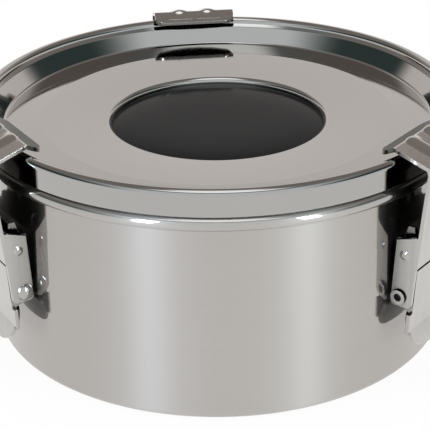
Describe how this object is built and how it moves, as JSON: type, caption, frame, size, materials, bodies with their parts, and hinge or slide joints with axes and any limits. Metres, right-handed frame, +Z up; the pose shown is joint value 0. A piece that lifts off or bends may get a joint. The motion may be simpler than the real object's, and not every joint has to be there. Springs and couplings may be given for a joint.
{
  "type": "food canister",
  "caption": "Low round polished steel food canister: a recessed lid with a domed badge is clamped onto the rolled rim by over-centre draw latches.",
  "frame": {"origin": "centre of the canister's flat base", "axes": "+Z up through the lid, -Y towards the viewer with one latch at the back and one at each front side"},
  "size_m": [0.1267, 0.1316, 0.0626],
  "materials": {
    "body_steel": "polished",
    "lid_steel": "polished",
    "gasket_rubber": "matte",
    "badge_pad": "matte",
    "badge_black": "glossy",
    "latch_steel": "plated",
    "rivet_steel": "plated"
  },
  "bodies": {
    "canister": {"canister_body": "body_steel", "latch_base_rear": "latch_steel", "latch_base_pin_rear": "rivet_steel", "latch_base_left": "latch_steel", "latch_base_pin_left": "rivet_steel", "latch_base_right": "latch_steel", "latch_base_pin_right": "rivet_steel"},
    "lid": {"lid": "lid_steel", "lid_gasket": "gasket_rubber", "badge_backing": "badge_pad", "badge_dome": "badge_black"},
    "lever_rear": {"latch_lever_rear": "latch_steel"},
    "hook_rear": {"latch_hook_rear": "latch_steel", "latch_hook_pin_rear": "rivet_steel"},
    "lever_left": {"latch_lever_left": "latch_steel"},
    "hook_left": {"latch_hook_left": "latch_steel", "latch_hook_pin_left": "rivet_steel"},
    "lever_right": {"latch_lever_right": "latch_steel"},
    "hook_right": {"latch_hook_right": "latch_steel", "latch_hook_pin_right": "rivet_steel"}
  },
  "joints": [
    {"name": "lid_lift", "type": "slide", "parent": "canister", "child": "lid", "axis": [0, 0, 1], "range_m": [0, 0.0002]},
    {"name": "lever_rear_swing", "type": "hinge", "parent": "canister", "child": "lever_rear", "pos_m": [-0.00718, 0.06209, 0.037], "axis": [0.9934, 0.1149, 0], "range_deg": [0, 100]},
    {"name": "hook_rear_swing", "type": "hinge", "parent": "lever_rear", "child": "hook_rear", "pos_m": [-0.00708, 0.06119, 0.0252], "axis": [0.9934, 0.1149, 0], "range_deg": [-66, 0]},
    {"name": "lever_left_swing", "type": "hinge", "parent": "canister", "child": "lever_left", "pos_m": [-0.05329, -0.03266, 0.037], "axis": [-0.5225, 0.8526, 0], "range_deg": [0, 100]},
    {"name": "hook_left_swing", "type": "hinge", "parent": "lever_left", "child": "hook_left", "pos_m": [-0.05252, -0.03219, 0.0252], "axis": [-0.5225, 0.8526, 0], "range_deg": [-66, 0]},
    {"name": "lever_right_swing", "type": "hinge", "parent": "canister", "child": "lever_right", "pos_m": [0.04991, -0.03761, 0.037], "axis": [-0.6018, -0.7986, 0], "range_deg": [0, 100]},
    {"name": "hook_right_swing", "type": "hinge", "parent": "lever_right", "child": "hook_right", "pos_m": [0.0492, -0.03707, 0.0252], "axis": [-0.6018, -0.7986, 0], "range_deg": [-66, 0]}
  ],
  "couplings": [
    {"joint": "hook_rear_swing", "follows": "lever_rear_swing", "ratio": -0.655},
    {"joint": "hook_left_swing", "follows": "lever_left_swing", "ratio": -0.655},
    {"joint": "hook_right_swing", "follows": "lever_right_swing", "ratio": -0.655}
  ]
}
